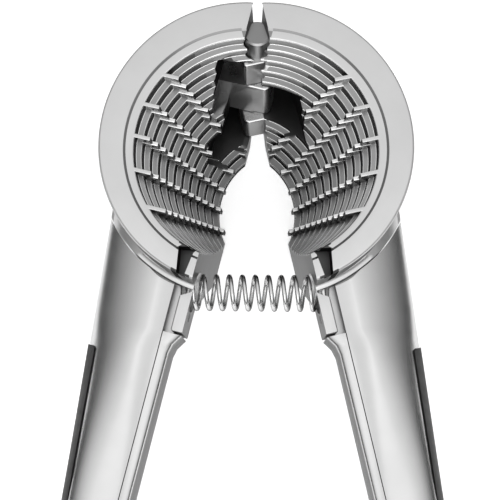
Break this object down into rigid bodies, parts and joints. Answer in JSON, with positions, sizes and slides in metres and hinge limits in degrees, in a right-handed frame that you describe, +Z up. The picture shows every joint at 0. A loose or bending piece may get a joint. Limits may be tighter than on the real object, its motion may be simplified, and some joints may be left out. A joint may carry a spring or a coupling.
{
  "type": "nutcracker",
  "caption": "Plier-type nutcracker with two toothed half-cone jaws on a top hinge, a coil spring that opens them, and two long handles with soft grip inserts.",
  "frame": {"origin": "on the table, under the middle of the nutcracker as it lies open with its mouth up", "axes": "+Z up out of the mouth, +Y from the handle ends towards the hinge, +X to the right of someone who looks along +Y"},
  "size_m": [0.1006, 0.1678, 0.046],
  "materials": {
    "satin_casting": "satin chrome plate on a zinc casting",
    "satin_handle": "satin chrome plate",
    "steel_pin": "ground steel",
    "spring_wire": "bright drawn wire",
    "soft_grip": "matt soft-touch elastomer"
  },
  "bodies": {
    "left_arm": {"left_jaw": "satin_casting", "left_handle_shell": "satin_handle", "left_edge_cap": "satin_handle", "left_grip_insert": "soft_grip", "left_tang_pin": "steel_pin", "hinge_pin": "steel_pin", "opening_spring": "spring_wire"},
    "right_arm": {"right_jaw": "satin_casting", "right_handle_shell": "satin_handle", "right_edge_cap": "satin_handle", "right_grip_insert": "soft_grip", "right_tang_pin": "steel_pin"}
  },
  "joints": [
    {"name": "jaw_hinge", "type": "hinge", "parent": "left_arm", "child": "right_arm", "pos_m": [0, 0.07835, 0.04525], "axis": [0, 0.0789, 0.9969], "range_deg": [-22, 0], "stiffness_Nm_per_rad": 6, "springref_deg": 2.29, "deforming": ["opening_spring"]}
  ]
}
